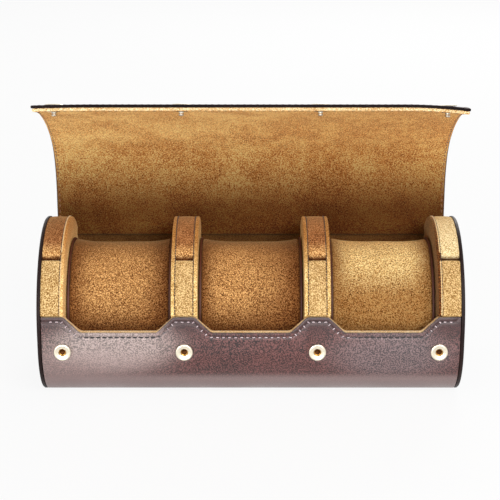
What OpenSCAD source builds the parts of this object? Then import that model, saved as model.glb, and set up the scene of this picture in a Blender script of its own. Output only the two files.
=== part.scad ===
// Travel case for three watches: a rounded leather case with a curling lid,
// four padded dividers, three lift-out pillows and four press studs.
// Millimetres. +X runs along the case, the open front faces -Y and +Z is up.
// The origin is the middle of the flat that the case stands on.
// An angle called forward is measured at the arch's centre, from straight up towards the front.

/* [Case] */
// Length over both end caps
case_len = 210; // [190:1:240]
// Radius of the arched back, over the leather
arch_r = 45.5; // [43:0.5:50]
// Height of the arch's centre above the base
arch_z = 38; // [35:0.5:44]
// Radius of the lower corners
corner_r = 30; // [26:0.5:34]
// Height of the front wall between dividers
valley_z = 38.6; // [36:0.1:42]
// Height of the front wall at the dividers
peak_z = 46.5; // [44:0.5:50]
// Half of a middle peak's flat top
peak_half = 5.4; // [4:0.1:8]
// Width of an end peak's flat top
end_peak_w = 11; // [9:0.1:14]
// Run of a sloping shoulder between valley and peak
shoulder_run = 8; // [6:0.5:12]
// Rounding of the shoulders' corners
shoulder_r = 3; // [1:0.5:5]
// Angle behind upright where the back board ends
board_edge = 45; // [35:1:50]
// Angle behind upright where the outer leather leaves the back board
leather_edge = 58; // [54:1:70]

/* [Layers] */
// Thickness of the outer leather
leather_t = 1.4; // [1:0.1:2]
// Thickness of the case's board
board_t = 1.6; // [1.2:0.1:2.4]
// Thickness of the suede lining
lining_t = 1; // [0.6:0.1:1.4]
// Thickness of the lid's board
lid_board_t = 0.6; // [0.4:0.1:2]

/* [End caps] */
// Thickness of an end cap
cap_t = 1.8; // [1.6:0.1:4]
// Thickness of the board in an end cap
cap_board_t = 0.8; // [0.5:0.1:1]
// Width of the leather turned over a cap's rim
cap_rim = 1.2; // [0.8:0.1:2]
// Bevel round a cap's outer edge
cap_bevel = 0.5; // [0.2:0.1:0.8]
// Groove between a cap and the wrapped case
cap_groove = 0.4; // [0.2:0.1:0.8]

/* [Dividers] */
// Thickness of a middle divider
divider_t = 13; // [10:0.5:15]
// Thickness of an end divider
end_divider_t = 11.3; // [8:0.1:14]
// Thickness of a divider's side plate
plate_t = 2; // [1:0.1:3]
// Depth of a side plate's edge below the arch
plate_drop = 0.2; // [0.1:0.1:2]
// Depth of the padded rim below the arch
pad_drop = 0.4; // [0.3:0.1:3]
// Radial depth of the padded rim
pad_depth = 12; // [8:0.5:14]
// Rounding of a head pad's corners
head_round = 3; // [1:0.1:4]
// Rounding of a front post pad's corners
post_round = 0.6; // [0.2:0.1:1.5]
// Forward angle of the notch in the rim
notch_angle = 40.3; // [34:0.1:46]
// Width of the notch
notch_w = 3.2; // [2:0.1:5]
// Forward angle where the front post ends, under the wall
post_end = 120; // [110:1:130]
// Angle behind upright where the head pad ends
head_end = 100; // [95:1:120]

/* [Pillows] */
// Radius of a pillow at its ends
pillow_r = 33; // [28:0.5:34]
// Height of a pillow's axis above the base
pillow_z = 39; // [37:0.5:40]
// Depth of the waist in a pillow's middle
pillow_waist = 1.7; // [0.5:0.1:3]
// Rounding where a pillow's cover meets its side panel
pillow_round = 1.4; // [0.6:0.1:2]
// Thickness of a pillow's side panel
panel_t = 1; // [0.8:0.1:1.6]
// Height of a side panel's edge over the pillow
panel_lip = 0.6; // [0.2:0.1:1]
// Half width of a side panel's foot
foot_half = 8; // [5:0.5:12]
// Radius of the filling inside a pillow
filling_r = 24; // [18:0.5:26]
// Thickness of the cover past the filling's ends
filling_cover = 3; // [2:0.5:6]

/* [Lid] */
// Straight rise of the open lid above its hinge
rise_len = 18; // [14:0.5:24]
// Length of the open lid's bend
bend_len = 36; // [30:0.5:44]
// Turn of the open lid's bend, in degrees
bend_turn = 53; // [40:1:60]
// Length of the open lid's gently arched end
arc_len = 74; // [66:0.5:80]
// Turn of the open lid's gently arched end, in degrees
arc_turn = 25; // [15:1:35]
// Distance from the lid's hinge to its first crease
crease_low = 17; // [14:0.5:24]
// Distance from the lid's hinge to its second crease
crease_mid = 55; // [45:0.5:60]
// Distance from the lid's hinge to its third crease
crease_curl = 80; // [74:0.5:86]
// Distance from the lid's hinge to its last crease
crease_tip = 104; // [98:0.5:108]
// Distance of the hinge line outside the arch
hinge_out = 1.17; // [0.8:0.01:2]
// Gap between neighbouring stiff sections of the lid
section_gap = 0.3; // [0.2:0.05:0.5]
// Margin of the lid's board inside the lid's edges
board_margin = 3; // [2:0.5:6]
// Margin of the lid's lining inside the lid's edges
lining_margin = 0.6; // [0.2:0.1:1.5]
// Bulge of the leather fold that joins lid and back
fold_bulge = 3; // [2:0.5:5]

/* [Press studs] */
// Height of the sockets above the base
stud_z = 28.5; // [24:0.5:32]
// Distance of the end sockets from the wrapped case's ends
end_stud_in = 10; // [7:0.5:14]
// Distance of the lid's posts from the lid's tip
tip_to_post = 8; // [6:0.5:12]
// Radius of a socket's flange
flange_r = 4.25; // [3.5:0.05:5]
// Thickness of a socket's flange
flange_t = 0.9; // [0.6:0.1:1.4]
// Bevel of a socket's flange
flange_bevel = 0.4; // [0.1:0.1:0.5]
// Radius of a socket's barrel
barrel_r = 2.6; // [2.4:0.1:3]
// Radius of a socket's hole
socket_r = 1.8; // [1.4:0.1:2]
// Thickness of the floor of a socket
socket_floor = 0.4; // [0.3:0.1:0.8]
// Radial clearance of a post in a socket
post_clear = 0.3; // [0.1:0.05:0.5]
// Length of a post past its base
post_len = 1.9; // [1.4:0.1:2.2]
// Radius of a post's base
post_base_r = 3.4; // [2.5:0.1:4]
// Thickness of a post's base
post_base_t = 0.4; // [0.2:0.1:0.5]
// Radius of the barrel that carries a post through the lid
rivet_r = 1.6; // [1.2:0.1:2]
// Radius of a cap on the lid's outside
button_r = 4.5; // [3.5:0.1:6]
// Height of a cap's dome
button_h = 0.5; // [0.4:0.1:1.8]
// Radius of a washer behind a socket
washer_r = 4; // [3.4:0.1:5]
// Thickness of a washer behind a socket
washer_t = 0.5; // [0.3:0.1:0.8]

/* [Fits] */
// Clearance round what is set into a hole or pocket
fit = 0.05; // [0.02:0.01:0.2]
// Clearance under a pillow's feet
seat_gap = 0.3; // [0.2:0.05:0.6]
// Clearance at each side of a pillow
side_gap = 0.55; // [0.4:0.05:1]
// Clearance between dividers and the case
divider_gap = 0.1; // [0.05:0.05:0.3]

/* [Hidden] */
$fn = 96;
far = 200;
cap_in = case_len / 2 - cap_t;
half_w = cap_in - cap_groove;
shell_t = leather_t + board_t + lining_t;
side_half = arch_r - corner_r;
lid_t = leather_t + lid_board_t + lining_t;
lid_len = rise_len + bend_len + arc_len;
band_step = lid_len / 52;
lid_joints = [0, crease_low, crease_mid, crease_curl, crease_tip];
sections = len(lid_joints);
end_bay = cap_in - end_divider_t;
mid_x = (end_bay + divider_t / 2) / 3;
pillow_w = 2 * (mid_x - divider_t / 2 - side_gap);
outer_bay_x = (end_bay + mid_x + divider_t / 2) / 2;
pillow_xs = [-outer_bay_x, 0, outer_bay_x];
stud_xs = [end_stud_in - half_w, -mid_x, mid_x, half_w - end_stud_in];
bays = ["left", "middle", "right"];
places = ["left_end", "left_mid", "right_mid", "right_end"];
leather_c = [0.20, 0.13, 0.15];
suede_c = [0.72, 0.50, 0.24];
lining_c = [0.62, 0.40, 0.17];
panel_c = [0.30, 0.17, 0.15];
board_c = [0.52, 0.47, 0.40];
foam_c = [0.85, 0.83, 0.76];
metal_c = [0.93, 0.87, 0.70];

// ---- helpers ----

// Extrudes a (Y, Z) section along X between two places
module along_x(x0, x1) {
    translate([x0, 0, 0]) rotate([90, 0, 90]) linear_extrude(x1 - x0) children();
}

// The case's outer section, drawn in by an inset
module case_section(inset) {
    r = corner_r - inset;
    translate([0, arch_z]) intersection() {
        circle(arch_r - inset);
        translate([-far, 0]) square([2 * far, far]);
    }
    for (s = [-1, 1]) translate([s * side_half, corner_r]) circle(r);
    translate([-side_half - r, corner_r]) square([2 * (side_half + r), arch_z - corner_r]);
    translate([-side_half, inset]) square([2 * side_half, corner_r]);
}

// Everything between two forward angles, from the arch's centre
module wedge(from, to) {
    rim = [for (i = [0:4]) let (a = from + (to - from) * i / 4) far * [-sin(a), cos(a)]];
    translate([0, arch_z]) polygon(concat([[0, 0]], rim));
}

function unit(v) = v / norm(v);

// Arc points that round the corner b between a and c
function rounded(a, b, c, r) =
    let (u = unit(a - b), v = unit(c - b), half = acos(u * v) / 2)
    let (centre = b + unit(u + v) * r / sin(half), p = b + u * r / tan(half) - centre)
    let (q = b + v * r / tan(half) - centre, from = atan2(p[1], p[0]))
    let (turn = (atan2(q[1], q[0]) - from + 540) % 360 - 180)
    [for (i = [0:6]) centre + r * [cos(from + turn * i / 6), sin(from + turn * i / 6)]];

// The right half of the front wall's scalloped top edge, in (X, Z)
function scallop() =
    let (p0 = mid_x - peak_half, p1 = mid_x + peak_half, p2 = half_w - end_peak_w)
    [[0, valley_z], [p0 - shoulder_run, valley_z], [p0, peak_z], [p1, peak_z],
     [p1 + shoulder_run, valley_z], [p2 - shoulder_run, valley_z], [p2, peak_z], [half_w, peak_z]];

// What stays of the case: all below the scalloped edge in front, and the back up to an angle
module wall_region(edge) {
    pts = scallop();
    n = len(pts) - 1;
    right = [for (i = [1:n - 1]) each rounded(pts[i - 1], pts[i], pts[i + 1], shoulder_r)];
    left = [for (i = [len(right) - 1:-1:0]) [-right[i][0], right[i][1]]];
    top = concat([[-half_w, peak_z]], left, right, [[half_w, peak_z]]);
    rotate([90, 0, 0]) linear_extrude(far)
        polygon(concat([[half_w, -1], [-half_w, -1]], top));
    along_x(-half_w, half_w) wedge(-edge - 90, -edge);
    along_x(-half_w, half_w) translate([0, -1]) square([far, arch_z + 1]);
}

// One layer of the wrapped case between two insets
module wrap_layer(outer, inner, edge) {
    intersection() {
        along_x(-half_w, half_w) difference() {
            case_section(outer);
            case_section(inner);
        }
        wall_region(edge);
    }
}

// Puts its children at each socket, with +Z pointing out of the front wall
module at_sockets() {
    for (x = stud_xs) translate([x, -arch_r, stud_z]) rotate([90, 0, 0]) children();
}

// ---- lid curve ----

// A place u along an arc that leaves [y, z, forward angle] and turns by turn over len
function on_arc(p, len, turn, u) =
    let (k = turn / len, a = p[2] + k * u)
    turn == 0 ? [p[0] - u * sin(a), p[1] + u * cos(a), a] :
    [p[0] + (cos(a) - cos(p[2])) * 180 / (PI * k), p[1] + (sin(a) - sin(p[2])) * 180 / (PI * k), a];

hinge_yz = (arch_r + hinge_out) * [sin(board_edge), cos(board_edge)] + [0, arch_z];
lid_p0 = [hinge_yz[0], hinge_yz[1], 0];
lid_p1 = on_arc(lid_p0, rise_len, 0, rise_len);
lid_p2 = on_arc(lid_p1, bend_len, bend_turn, bend_len);

// [y, z, forward angle] on the open lid's inner face, s along from the hinge
function lid_at(s) =
    s <= rise_len ? on_arc(lid_p0, rise_len, 0, s) :
    s <= rise_len + bend_len ? on_arc(lid_p1, bend_len, bend_turn, s - rise_len) :
    on_arc(lid_p2, arc_len, arc_turn, s - rise_len - bend_len);

// A place d outside the lid's inner face
function lid_out(s, d) = let (p = lid_at(s)) [p[0] + d * cos(p[2]), p[1] + d * sin(p[2])];

// Section of a lid layer from s0 to s1, between two depths
module lid_band(s0, s1, d0, d1) {
    s = concat([for (v = [s0:band_step:s1 - band_step / 4]) v], [s1]);
    polygon(concat([for (v = s) lid_out(v, d0)], [for (i = [len(s) - 1:-1:0]) lid_out(s[i], d1)]));
}

// One layer of one stiff section of the lid
module lid_layer(i, d0, d1, side, tip) {
    last = i == sections;
    s0 = lid_joints[i - 1] + section_gap / 2;
    s1 = last ? lid_len - tip : lid_joints[i] - section_gap / 2;
    w = half_w - side;
    difference() {
        along_x(-w, w) lid_band(s0, s1, d0, d1);
        if (last) at_posts() translate([0, 0, -2 * lid_t]) cylinder(h = 3 * lid_t, r = rivet_r + fit);
    }
}

// Puts its children at each post, with +Z pointing out of the lid's inner face
module at_posts() {
    p = lid_at(lid_len - tip_to_post);
    for (x = stud_xs) translate([x, p[0], p[1]]) rotate([90 + p[2], 0, 0]) children();
}

// ---- case ----

module wrap_leather() {
    color(leather_c) difference() {
        wrap_layer(0, leather_t, leather_edge);
        at_sockets() translate([0, 0, -shell_t]) cylinder(h = 2 * shell_t, r = barrel_r + fit);
    }
}

module wrap_board() {
    color(board_c) difference() {
        wrap_layer(leather_t, leather_t + board_t, board_edge);
        at_sockets() translate([0, 0, -shell_t]) cylinder(h = 2 * shell_t, r = barrel_r + fit);
        at_sockets() translate([0, 0, -shell_t])
            cylinder(h = lining_t + washer_t + fit, r = washer_r + fit);
    }
}

module wrap_lining() {
    color(lining_c) wrap_layer(leather_t + board_t, shell_t, board_edge);
}

// The free strip of leather between the back of the case and the lid
module hinge_fold() {
    mid = leather_t / 2;
    r = arch_r - mid;
    from = [r * sin(leather_edge), arch_z + r * cos(leather_edge)];
    to = lid_out(0, lid_t - mid);
    p1 = from + fold_bulge * [-cos(leather_edge), sin(leather_edge)];
    p2 = to - [0, fold_bulge];
    path = [for (t = [0:0.125:1])
        pow(1 - t, 3) * from + 3 * t * pow(1 - t, 2) * p1 + 3 * t * t * (1 - t) * p2 + pow(t, 3) * to];
    n = len(path) - 1;
    side = [for (i = [0:n])
        i == 0 ? [sin(leather_edge), cos(leather_edge)] : i == n ? [1, 0] :
        let (u = unit(path[i + 1] - path[i - 1])) [u[1], -u[0]]];
    color(leather_c) along_x(-half_w, half_w)
        polygon(concat([for (i = [0:n]) path[i] + mid * side[i]],
            [for (i = [n:-1:0]) path[i] - mid * side[i]]));
}

module cap_leather(s) {
    pocket = cap_board_t + fit;
    color(leather_c) mirror([s < 0 ? 1 : 0, 0, 0]) difference() {
        union() {
            along_x(cap_in, case_len / 2 - cap_bevel) case_section(0);
            along_x(cap_in, case_len / 2) case_section(cap_bevel);
        }
        along_x(cap_in - 1, cap_in + pocket) case_section(cap_rim);
    }
}

module cap_board(s) {
    color(board_c) mirror([s < 0 ? 1 : 0, 0, 0])
        along_x(cap_in, cap_in + cap_board_t) case_section(cap_rim + fit);
}

// ---- dividers ----

// A divider's full section: inside the wall below, and near the arch above it
module divider_section(drop) {
    case_section(shell_t + divider_gap);
    intersection() {
        case_section(drop);
        union() {
            translate([0, divider_gap]) wedge(-board_edge, 0);
            translate([-far, peak_z + divider_gap]) square([far, far]);
        }
    }
}

// The padded rim between two forward angles, with rounded corners
module rim_section(from, to, r) {
    offset(r = r) offset(delta = -r) difference() {
        intersection() {
            divider_section(pad_drop);
            wedge(from, to);
        }
        translate([0, arch_z]) circle(arch_r - pad_drop - pad_depth);
        translate([0, arch_z]) rotate(notch_angle) translate([-notch_w / 2, 0]) square([notch_w, far]);
    }
}

// The stiff middle of a divider, under the padded rim
module core_section() {
    intersection() {
        divider_section(pad_drop);
        union() {
            translate([0, arch_z]) circle(arch_r - pad_drop - pad_depth - fit);
            wedge(post_end + fit, 360 - head_end - fit);
        }
    }
}

// X range of a divider's padded middle: 0 left end, 1 and 2 middle, 3 right end
function pad_x(i) =
    i == 0 ? [-cap_in, -end_bay - plate_t] :
    i == 3 ? [end_bay + plate_t, cap_in] :
    let (c = i == 1 ? -mid_x : mid_x, h = divider_t / 2 - plate_t) [c - h, c + h];

module divider_core(i) {
    color(foam_c) along_x(pad_x(i)[0], pad_x(i)[1]) core_section();
}

module head_pad(i) {
    color(suede_c) along_x(pad_x(i)[0], pad_x(i)[1]) rim_section(-head_end, notch_angle, head_round);
}

module post_pad(i) {
    color(suede_c) along_x(pad_x(i)[0], pad_x(i)[1]) rim_section(notch_angle, post_end, post_round);
}

module side_plate(x) {
    color(suede_c) along_x(x, x + plate_t) divider_section(plate_drop);
}

// ---- pillows ----

// Radius of a pillow's cover at x from its middle
function cover_r(x, half) =
    let (edge = half - pillow_round, over = max(0, abs(x) - edge))
    pillow_r - pillow_waist * (1 - pow(x / half, 4))
    - (pillow_round - sqrt(max(0, pow(pillow_round, 2) - pow(over, 2))));

module pillow_cover(x) {
    half = pillow_w / 2 - panel_t;
    edge = half - pillow_round;
    flat = [for (i = [-8:8]) edge * i / 8];
    turn = [for (i = [1:5]) edge + pillow_round * sin(18 * i)];
    xs = concat([for (i = [4:-1:0]) -turn[i]], flat, turn);
    rim = [for (v = xs) [cover_r(v, half), v]];
    color(suede_c) translate([x, 0, pillow_z]) rotate([0, 90, 0]) difference() {
        rotate_extrude() polygon(concat([[0, -half]], rim, [[0, half]]));
        cylinder(h = 2 * (half - filling_cover) + 2 * fit, r = filling_r + fit, center = true);
    }
}

module pillow_filling(x) {
    half = pillow_w / 2 - panel_t;
    color(foam_c) translate([x, 0, pillow_z]) rotate([0, 90, 0])
        cylinder(h = 2 * (half - filling_cover), r = filling_r, center = true);
}

// A stiff side panel with the foot that it stands on
module pillow_panel(x) {
    color(panel_c) along_x(x, x + panel_t) {
        translate([0, pillow_z]) circle(pillow_r + panel_lip);
        translate([-foot_half, shell_t + seat_gap])
            square([2 * foot_half, pillow_z - shell_t - seat_gap]);
    }
}

// ---- press studs ----

module front_snap_sockets() {
    barrel = leather_t + board_t;
    color(metal_c) at_sockets() difference() {
        union() {
            translate([0, 0, -barrel]) cylinder(h = barrel + flange_bevel, r = barrel_r);
            cylinder(h = flange_t - flange_bevel, r = flange_r);
            translate([0, 0, flange_t - flange_bevel])
                cylinder(h = flange_bevel, r1 = flange_r, r2 = flange_r - flange_bevel);
        }
        translate([0, 0, socket_floor - barrel]) cylinder(h = barrel + flange_t, r = socket_r);
    }
}

module front_snap_washers() {
    color(metal_c) at_sockets() translate([0, 0, -leather_t - board_t]) difference() {
        cylinder(h = washer_t, r = washer_r);
        translate([0, 0, -1]) cylinder(h = washer_t + 2, r = barrel_r + fit);
    }
}

module lid_snap_posts() {
    post_r = socket_r - post_clear;
    color(metal_c) at_posts() {
        translate([0, 0, -lid_t]) cylinder(h = lid_t + post_base_t, r = rivet_r);
        translate([0, 0, fit]) cylinder(h = post_base_t, r = post_base_r);
        cylinder(h = post_base_t + post_len - post_r, r = post_r);
        translate([0, 0, post_base_t + post_len - post_r]) sphere(post_r);
    }
}

module lid_snap_caps() {
    ball = (pow(button_r, 2) + pow(button_h, 2)) / (2 * button_h);
    color(metal_c) at_posts() translate([0, 0, -lid_t]) mirror([0, 0, 1]) intersection() {
        translate([0, 0, button_h - ball]) sphere(ball);
        cylinder(h = button_h + 1, r = button_r + 1);
    }
}

// ---- everything that is drawn ----

wrap_leather();
wrap_board();
wrap_lining();
hinge_fold();
cap_leather(-1);  // left_cap_leather
cap_board(-1);  // left_cap_board
cap_leather(1);  // right_cap_leather
cap_board(1);  // right_cap_board
for (i = [0:3]) {
    divider_core(i);
    head_pad(i);
    post_pad(i);
}
side_plate(-end_bay - plate_t);  // left_end_plate
side_plate(-mid_x - divider_t / 2);  // left_mid_plate_outer
side_plate(-mid_x + divider_t / 2 - plate_t);  // left_mid_plate_inner
side_plate(mid_x - divider_t / 2);  // right_mid_plate_inner
side_plate(mid_x + divider_t / 2 - plate_t);  // right_mid_plate_outer
side_plate(end_bay);  // right_end_plate
front_snap_sockets();
front_snap_washers();
lid_snap_posts();
lid_snap_caps();
for (i = [1:sections]) {
    color(leather_c) lid_layer(i, lining_t + lid_board_t, lid_t, 0, 0);
    color(board_c) lid_layer(i, lining_t, lining_t + lid_board_t, board_margin, board_margin);
    color(lining_c) lid_layer(i, 0, lining_t, lining_margin, lining_margin);
}
for (i = [0:2]) {
    pillow_cover(pillow_xs[i]);
    pillow_filling(pillow_xs[i]);
    pillow_panel(pillow_xs[i] - pillow_w / 2);
    pillow_panel(pillow_xs[i] + pillow_w / 2 - panel_t);
}
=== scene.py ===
import math

import bpy
from mathutils import Matrix, Vector


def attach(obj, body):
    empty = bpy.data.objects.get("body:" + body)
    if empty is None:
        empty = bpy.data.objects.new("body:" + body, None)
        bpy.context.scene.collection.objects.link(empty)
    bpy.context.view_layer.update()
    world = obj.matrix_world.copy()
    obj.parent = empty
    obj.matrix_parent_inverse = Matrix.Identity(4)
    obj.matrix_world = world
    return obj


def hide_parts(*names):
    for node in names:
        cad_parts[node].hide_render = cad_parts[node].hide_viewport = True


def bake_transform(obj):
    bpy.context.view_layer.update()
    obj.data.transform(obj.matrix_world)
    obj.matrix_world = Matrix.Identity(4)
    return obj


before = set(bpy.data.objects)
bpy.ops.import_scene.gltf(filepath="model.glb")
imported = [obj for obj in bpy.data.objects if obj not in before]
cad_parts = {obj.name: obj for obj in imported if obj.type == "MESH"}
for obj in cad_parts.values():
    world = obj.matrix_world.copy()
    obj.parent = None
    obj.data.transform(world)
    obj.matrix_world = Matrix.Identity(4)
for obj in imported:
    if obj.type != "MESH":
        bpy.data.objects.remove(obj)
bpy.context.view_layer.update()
mm = 0.001


# tools that every piece uses

def newObject(name, data):
    obj = bpy.data.objects.new(name, data)
    bpy.context.scene.collection.objects.link(obj)
    return obj


def makeActive(obj):
    bpy.ops.object.select_all(action="DESELECT")
    obj.select_set(True)
    bpy.context.view_layer.objects.active = obj


def startEdit(obj, action="SELECT"):
    makeActive(obj)
    bpy.ops.object.mode_set(mode="EDIT")
    bpy.ops.mesh.select_all(action=action)


def endEdit():
    bpy.ops.object.mode_set(mode="OBJECT")


def applyModifier(obj, kind, **settings):
    makeActive(obj)
    mod = obj.modifiers.new(kind.title(), kind)
    for key, value in settings.items():
        setattr(mod, key, value)
    bpy.ops.object.modifier_apply(modifier=mod.name)


def roundEdges(obj, width, segments, angle):
    applyModifier(obj, "BEVEL", width=width * mm, segments=segments, limit_method="ANGLE",
                  angle_limit=math.radians(angle), harden_normals=False)


def dress(obj, name, material, smooth=35):
    makeActive(obj)
    bpy.ops.object.transform_apply(location=True, rotation=True, scale=True)
    bpy.ops.object.shade_smooth_by_angle(angle=math.radians(smooth))
    obj.name = obj.data.name = name
    obj.data.materials.clear()
    obj.data.materials.append(material)
    return obj


# gives the faces that pass the test, from their centre in mm and their normal, a finish of their own
def finishFaces(obj, material, test):
    obj.data.materials.append(material)
    for face in obj.data.polygons:
        if test(face.center / mm, face.normal):
            face.material_index = 1


# lays a flat grid along place(u, v), with its UV map in metres from chart(u, v)
def gridSheet(columns, rows, place, chart):
    bpy.ops.object.select_all(action="DESELECT")
    bpy.ops.mesh.primitive_grid_add(x_subdivisions=columns, y_subdivisions=rows, size=1)
    obj = bpy.context.object
    shares = [(v.co.x + 0.5, v.co.y + 0.5) for v in obj.data.vertices]
    uvMap = obj.data.uv_layers.active.data
    for loop in obj.data.loops:
        uvMap[loop.index].uv = chart(*shares[loop.vertex_index])
    for v, share in zip(obj.data.vertices, shares):
        v.co = Vector(place(*share)) * mm
    return obj


# turns a sheet into a layer that reaches inward from its outer face
def thicken(obj, thickness, side=-1):
    startEdit(obj)
    bpy.ops.mesh.remove_doubles(threshold=1e-6)
    endEdit()
    applyModifier(obj, "SOLIDIFY", thickness=thickness * mm, offset=side, use_even_offset=True)


# rounds a thickened sheet's long edges, and its far end if it is free
def roundSides(obj, columns, rows, width, segments, freeEnd):
    count = (columns + 1) * (rows + 1)  # vertices in one of the sheet's two layers

    def spot(i):
        return i // count, (i % count) // (columns + 1), (i % count) % (columns + 1)

    startEdit(obj, "DESELECT")
    bpy.ops.mesh.select_mode(type="EDGE")
    endEdit()
    for edge in obj.data.edges:
        (layerA, rowA, colA), (layerB, rowB, colB) = (spot(i) for i in edge.vertices)
        side = colA == colB and colA in (0, columns) and rowA != rowB
        end = freeEnd and rowA == rowB == rows and colA != colB
        edge.select = layerA == layerB and (side or end)
    bpy.ops.object.mode_set(mode="EDIT")
    bpy.ops.mesh.bevel(offset=width * mm, segments=segments, affect="EDGES")
    endEdit()


# spins a profile of (radius, height) points about Z
def lathe(profile, steps):
    mesh = bpy.data.meshes.new("profile")
    mesh.from_pydata([(r * mm, 0, z * mm) for r, z in profile],
                     [(i, i + 1) for i in range(len(profile) - 1)], [])
    obj = newObject("turned", mesh)
    startEdit(obj)
    bpy.ops.mesh.spin(steps=steps, angle=math.tau, center=(0, 0, 0), axis=(0, 0, 1))
    bpy.ops.mesh.select_all(action="SELECT")
    bpy.ops.mesh.remove_doubles(threshold=1e-6)
    bpy.ops.mesh.normals_make_consistent(inside=False)
    endEdit()
    return obj


# a welded copy of a CAD node, with its flat sides made one face each
def weldedCopy(node):
    obj = newObject(node + "Copy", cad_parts[node].data.copy())
    makeActive(obj)
    bpy.ops.mesh.customdata_custom_splitnormals_clear()
    startEdit(obj)
    bpy.ops.mesh.remove_doubles(threshold=2e-6)
    bpy.ops.mesh.dissolve_limited(angle_limit=math.radians(1))
    bpy.ops.mesh.mark_sharp(clear=True)
    endEdit()
    return obj


# the name of the piece that stands for a CAD node
def pieceName(node):
    words = node.split("_")
    return words[0] + "".join(w.title() for w in words[1:])


def copyAt(obj, matrix):
    twin = newObject(obj.name, obj.data.copy())
    twin.data.transform(matrix)
    return twin


def joinAll(objs):
    makeActive(objs[0])
    for o in objs:
        o.select_set(True)
    bpy.ops.object.join()
    return bpy.context.object


# one form copied to all these places and joined
def joinedCopies(form, places):
    joined = joinAll([copyAt(form, place) for place in places])
    bpy.data.objects.remove(form)
    return joined


# the case's section and the lid's curve, as (y, z, outward y, outward z) in mm
section = dict(archR=45.5, archZ=38, cornerR=30, halfLength=102.8, leather=1.4, lining=2.6,
               valley=38.6, peak=46.5, midX=32.8, peakHalf=5.4, endPeak=11, run=8, turnR=3, turnSteps=8)
flatHalf = section["archR"] - section["cornerR"]
cornerEnd = flatHalf + section["cornerR"] * math.pi / 2  # along the section from the underside's middle
halfGirth = cornerEnd + section["archZ"] - section["cornerR"]


# g runs down the front from the arch's level, under the case and up the back
def caseAt(g, out=0.0):
    r, corner = section["archR"], section["cornerR"]
    h, face = abs(g - halfGirth), 1 if g > halfGirth else -1
    if h < flatHalf:
        y, z, ny, nz = h, 0, 0, -1
    elif h < cornerEnd:
        a = (h - flatHalf) / corner
        y, z, ny, nz = flatHalf + corner * math.sin(a), corner * (1 - math.cos(a)), math.sin(a), -math.cos(a)
    elif h < halfGirth:
        y, z, ny, nz = r, corner + h - cornerEnd, 1, 0
    else:
        a = (h - halfGirth) / r
        y, z, ny, nz = r * math.cos(a), section["archZ"] + r * math.sin(a), math.cos(a), math.sin(a)
    return face * (y + ny * out), z + nz * out, face * ny, nz


def backGirth(angle):
    return 2 * halfGirth + section["archR"] * math.radians(90 - angle)


# the scalloped edge's corners, each rounded
def scallopPoints():
    s = section
    p0, p1, p2 = s["midX"] - s["peakHalf"], s["midX"] + s["peakHalf"], s["halfLength"] - s["endPeak"]
    low, high = s["valley"], s["peak"]
    right = [(0, low), (p0 - s["run"], low), (p0, high), (p1, high), (p1 + s["run"], low), (p2 - s["run"], low),
             (p2, high), (s["halfLength"], high)]
    points = []
    for a, b, c in zip(right, right[1:], right[2:]):
        a, b, c = Vector(a), Vector(b), Vector(c)
        u, v = (a - b).normalized(), (c - b).normalized()
        half = u.angle(v) / 2
        centre = b + (u + v).normalized() * s["turnR"] / math.sin(half)
        p, q = (b + w * s["turnR"] / math.tan(half) - centre for w in (u, v))
        for i in range(s["turnSteps"] + 1):
            points.append(centre + p.slerp(q, i / s["turnSteps"]) * s["turnR"])
    points = [Vector(right[0])] + points + [Vector(right[-1])]
    return [Vector((-p.x, p.y)) for p in reversed(points[1:])] + points


scallop = scallopPoints()


def edgeHeight(x):
    for p, q in zip(scallop, scallop[1:]):
        if x <= q.x:
            return p.y + (q.y - p.y) * (x - p.x) / max(q.x - p.x, 1e-9)
    return scallop[-1].y


def heightGirth(z):
    return -section["archR"] * math.asin((z - section["archZ"]) / section["archR"])


lid = dict(rise=18, bend=36, bendTurn=53, arc=74, arcTurn=25, hinge=(33.0007, 71.0007), leather=1.4, lining=1.6,
           liningIn=0.6, joints=(0, 17, 55, 80, 104), borders=(8.5, 36, 67.5, 92, 128), soften=(8, 8, 9, 9, 9),
           sagSide=(72, 30), sagTip=(96, 32), sagLeft=0.5, sagRight=1.9)
lidThick = lid["leather"] + lid["lining"]


# s runs up the lid's inner face from the hinge
def lidAt(s, out=0.0):
    y, z, a = lid["hinge"][0], lid["hinge"][1], 0.0
    for length, turn in ((lid["rise"], 0), (lid["bend"], lid["bendTurn"]), (lid["arc"], lid["arcTurn"])):
        u = min(s, length) if length != lid["arc"] else s  # the arc runs on past its length
        k = math.radians(turn) / length
        if k == 0:
            z += u
        else:
            y += (math.cos(a + k * u) - math.cos(a)) / k
            z += (math.sin(a + k * u) - math.sin(a)) / k
            a += k * u
        s -= length
        if s <= 0:
            break
    return y + out * math.cos(a), z + out * math.sin(a), math.cos(a), math.sin(a)


# how far the soft corners of the lid's tip hang down, in mm
def droop(x, s):
    side, tip = (max(0.0, (at - begin) / reach)
                 for at, (begin, reach) in ((abs(x), lid["sagSide"]), (s, lid["sagTip"])))
    return side ** 2 * tip ** 1.5 * (lid["sagRight"] if x > 0 else lid["sagLeft"])


def lidPoint(x, s, out):
    y, z, ny, nz = lidAt(s, out)
    fall = droop(x, s)
    return x, y - ny * fall, z - nz * fall


print("sizes ready")


# shader groups for the effects that several finishes share

# a colour as it shows on a screen, 0 to 255, turned into linear light
def tone(r, g, b):
    return tuple(((c / 255 + 0.055) / 1.055) ** 2.4 for c in (r, g, b)) + (1.0,)


def newGroup(name, inputs, outputs):
    group = bpy.data.node_groups.new(name, "ShaderNodeTree")
    for way, sockets in (("INPUT", inputs), ("OUTPUT", outputs)):
        for label, kind in sockets.items():
            group.interface.new_socket(name=label, in_out=way, socket_type="NodeSocket" + kind)
    return group, group.nodes.new("NodeGroupInput"), group.nodes.new("NodeGroupOutput")


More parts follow.
